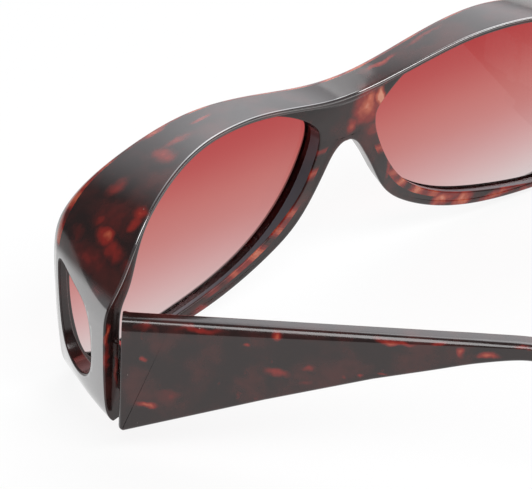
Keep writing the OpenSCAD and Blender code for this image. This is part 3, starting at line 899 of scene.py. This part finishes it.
def tortoiseshell(name, patches, place_in, seed, coat=None):
    """Polished near-black plastic with red and orange patches in it.

    place_in takes object coordinates to the millimetres that the patches are given in. Coat is
    the weight of the clear coat. Without it, the marks of mark_front say where the coat lies,
    where painted reflections lie as greys, and where painted light makes edges of the front bright.
    """
    mat, tree, shader = new_material(name)
    where = place_in(tree, object_coords(tree))
    seeded = vector_of(tree, "ADD", where, (seed, 2 * seed, -seed))
    drift = noise_of(tree, seeded, *DRIFT_NOISE, "Color")
    drift = vector_of(tree, "SUBTRACT", drift, (0.5, 0.5, 0.5))
    drift = vector_of(tree, "MULTIPLY", drift, (PATCH_DRIFT, PATCH_DRIFT, PATCH_DRIFT))
    fine = noise_of(tree, seeded, *FINE_NOISE)

    field = patches_of(tree, vector_of(tree, "ADD", where, drift), patches)
    field = math_of(tree, "MULTIPLY", field, range_of(tree, fine, 0.25, 0.75, 0.78, 1.08))
    flecks = range_of(tree, noise_of(tree, seeded, *FLECK_NOISE), 0.62, 0.8, 0, 0.3)
    field = math_of(tree, "MAXIMUM", field, flecks)
    if coat is None:
        # Painted light: the front edge of the shelf lighter and pinker, and bright streaks in the
        # rims as of light through the plastic
        brow_light = range_of(tree, noise_of(tree, seeded, *BROW_NOISE), 0.35, 0.65, 0.25, 0.8)
        light_streaks = range_of(tree, fine, 0.3, 0.6, 0.66, 0.9)
        for mark, glow in (("brow_edge_light", brow_light), ("light_streak", light_streaks)):
            marked = math_of(tree, "MULTIPLY", mark_of(tree, mark), glow)
            field = math_of(tree, "MAXIMUM", field, marked)

    clouds = range_of(tree, noise_of(tree, seeded, *CLOUD_NOISE), 0.42, 0.72)
    ground = mix_of(tree, clouds, DEEP, WINE)
    patch = ramp_of(tree, field, PATCH_COLOURS)
    colour = mix_of(tree, range_of(tree, field, 0.08, 0.4), ground, patch)
    specks = node_of(tree, "ShaderNodeTexVoronoi", {
        "Vector": seeded, "Scale": SPECK_SCALE, "Randomness": 1.0}).outputs
    dot = range_of(tree, specks["Distance"], *SPECK_EDGE, 1, 0)
    rare = range_of(tree, specks["Color"], *SPECK_RARE)
    colour = mix_of(tree, math_of(tree, "MULTIPLY", dot, rare), colour, SPECK)
    coat_ior = PLASTIC_IOR
    if coat is None:
        # Painted reflection: the side shield's outer skin made light as if it mirrored the bright
        # room
        painted_reflection = math_of(tree, "MULTIPLY", mark_of(tree, "shield"), SHIELD_REFLECTION_SHARE)
        colour = mix_of(tree, painted_reflection, colour, SHIELD_REFLECTION_GREY)
        # Painted reflection: the wall behind the lens coloured as if it mirrored the lens's bright
        # edge
        colour = mix_of(tree, mark_of(tree, "lens_wall_reflection"), colour, LENS_WALL_REFLECTION_GREY)
        coat, coat_ior = mark_of(tree, "polish"), FRONT_COAT_IOR

    set_inputs(tree, shader, {
        "Base Color": colour, "Roughness": range_of(tree, fine, 0.3, 0.7, 0.11, 0.17),
        "IOR": PLASTIC_IOR, "Normal": bump_of(tree, noise_of(tree, seeded, *WAVE_NOISE), 0.12),
        "Coat Weight": coat, "Coat IOR": coat_ior, "Coat Roughness": 0.1})
    return mat


def tinted_lens(name):
    """Polished lens, red at the top and nearly clear at the bottom."""
    mat, tree, shader = new_material(name)
    tree.nodes.remove(shader)
    low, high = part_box("lens_left")
    coords = object_coords(tree)
    height = node_of(tree, "ShaderNodeSeparateXYZ", {"Vector": coords}).outputs["Z"]
    level = node_of(tree, "ShaderNodeMapRange", {
        "Value": height, "From Min": low.z, "From Max": high.z}).outputs["Result"]
    noise = noise_of(tree, coords, 60, 2)
    uneven = math_of(tree, "MULTIPLY_ADD", noise, TINT_UNEVEN, -TINT_UNEVEN / 2)
    # Light passes through two faces, so each face has the root of the tint
    face_tint = [(at, [math.sqrt(part) for part in colour]) for at, colour in TINT]
    colour = ramp_of(tree, math_of(tree, "ADD", level, uneven), face_tint)
    clear = node_of(tree, "ShaderNodeBsdfTransparent", {"Color": colour})
    gloss = node_of(tree, "ShaderNodeBsdfGlossy", {"Roughness": 0.02})
    facing = node_of(tree, "ShaderNodeLayerWeight", {"Blend": 0.5}).outputs["Facing"]
    grazing = math_of(tree, "POWER", facing, 5)
    share = math_of(tree, "MULTIPLY_ADD", grazing, LENS_SHEEN_AT_EDGE, LENS_SHEEN)
    use_surface(tree, share, clear.outputs[0], gloss.outputs[0])
    return mat


def steel(name):
    """Plain hinge metal with fine draw lines and a little wear."""
    mat, tree, shader = new_material(name)
    coords = object_coords(tree)
    lines = noise_of(tree, vector_of(tree, "MULTIPLY", coords, DRAW_STRETCH), DRAW_SCALE, 2)
    stains = noise_of(tree, coords, 500, 3)
    set_inputs(tree, shader, {
        "Base Color": ramp_of(tree, stains, WORN_STEEL), "Metallic": 1.0,
        "Roughness": range_of(tree, lines, 0.3, 0.7, 0.2, 0.38),
        "Normal": bump_of(tree, lines, 0.15)})
    return mat


# ---- Assembly ----

front = build_front()
give(front, tortoiseshell("tortoiseshell_front", FRONT_PATCHES, in_drawing, 3.7))
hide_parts("front_frame")
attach(front, "front")

lens_tint = tinted_lens("lens_tint")
hinge_metal = steel("hinge_metal")
for side_name, side, angle in (("left", 1, LEFT_FOLD), ("right", -1, 0)):
    lens = build_lens(f"lens_{side_name}_body", side)
    give(lens, lens_tint)
    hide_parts(f"lens_{side_name}")
    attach(lens, "front")
    temple = build_temple(f"temple_{side_name}_body", side, angle)
    give(temple, tortoiseshell(f"tortoiseshell_temple_{side_name}", TEMPLE_PATCHES,
                               in_temple(side, angle), 11.0 + side, TEMPLE_COAT))
    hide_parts(f"temple_{side_name}")
    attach(temple, f"temple_{side_name}")
    for part in ("hinge_front_leaf", "hinge_temple_leaf", "hinge_screw"):
        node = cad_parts[f"{part}_{side_name}"]
        give(node, hinge_metal)
        ease_edges(node)


# ---- Camera, floor and light ----

def direction(azimuth, elevation):
    """Azimuth 0 is ahead of the wearer, 90 at the wearer's left."""
    a, e = math.radians(azimuth), math.radians(elevation)
    return Vector((math.sin(a) * math.cos(e), -math.cos(a) * math.cos(e), math.sin(e)))


def add_camera():
    data = bpy.data.cameras.new("camera")
    cam = bpy.data.objects.new("camera", data)
    bpy.context.scene.collection.objects.link(cam)
    data.sensor_fit = "HORIZONTAL"
    data.sensor_width = 36
    data.lens = FOCAL_PX / IMAGE_W * data.sensor_width
    data.shift_x = (IMAGE_W / 2 - CENTRE_PX[0]) / IMAGE_W
    data.shift_y = (CENTRE_PX[1] - IMAGE_H / 2) / IMAGE_W
    data.clip_start, data.clip_end = 0.05, 20
    back = direction(*CAMERA_AT)
    a, r = math.radians(CAMERA_AT[0]), math.radians(CAMERA_ROLL)
    level = Vector((math.cos(a), math.sin(a), 0))
    upright = back.cross(level)
    right = math.cos(r) * level + math.sin(r) * upright
    up = -math.sin(r) * level + math.cos(r) * upright
    spot = Vector(place([tuple(back * CAMERA_DISTANCE)])[0])
    cam.matrix_world = Matrix.Translation(spot) @ Matrix((right, up, back)).transposed().to_4x4()
    bpy.context.scene.camera = cam


def add_floor():
    """A plain white floor that takes a faint shadow."""
    corners = [(x * FLOOR_HALF, y * FLOOR_HALF, FLOOR_LEVEL)
               for x, y in ((-1, -1), (1, -1), (1, 1), (-1, 1))]
    floor = new_object("floor", new_mesh("floor", corners, [(0, 1, 2, 3)]))
    mat, tree, shader = new_material("floor_white")
    set_inputs(tree, shader, {"Base Color": (0.9, 0.9, 0.9, 1), "Roughness": 0.9})
    rays = node_of(tree, "ShaderNodeLightPath").outputs
    seen = math_of(tree, "MAXIMUM", rays["Is Camera Ray"], rays["Is Glossy Ray"])
    seen = math_of(tree, "MAXIMUM", seen, rays["Is Transmission Ray"])
    share = math_of(tree, "MULTIPLY", seen, FLOOR_WHITE)
    white = node_of(tree, "ShaderNodeEmission", {"Strength": 1.0})
    use_surface(tree, share, shader.outputs[0], white.outputs[0])
    give(floor, mat)


def add_panel(name, at, size, power):
    """A soft panel that faces the glasses."""
    away = direction(*at)
    data = bpy.data.lights.new(name, "AREA")
    data.shape = "RECTANGLE"
    data.size, data.size_y = size
    data.energy = power
    lamp = bpy.data.objects.new(name, data)
    bpy.context.scene.collection.objects.link(lamp)
    lamp.location = away * PANEL_DISTANCE + Vector(PANEL_TARGET)
    lamp.rotation_mode = "QUATERNION"
    lamp.rotation_quaternion = away.to_track_quat("Z", "Y")


def add_world():
    """Even dim light all round, with one broad soft glow ahead and to the wearer's right."""
    world = bpy.data.worlds.new("studio")
    bpy.context.scene.world = world
    world.use_nodes = True
    tree = world.node_tree
    seen = node_of(tree, "ShaderNodeTexCoord").outputs["Generated"]
    toward = vector_of(tree, "DOT_PRODUCT", seen, direction(*GLOW_AT))
    wide, narrow = (math.cos(math.radians(a)) for a in GLOW_REACH)
    strength = range_of(tree, toward, wide, narrow, WORLD_DIM, GLOW)
    set_inputs(tree, tree.nodes["Background"], {"Color": WORLD_COLOUR, "Strength": strength})


add_camera()
add_floor()
for panel in PANELS:
    add_panel(*panel)
add_world()

scene = bpy.context.scene
scene.view_settings.view_transform = "Standard"
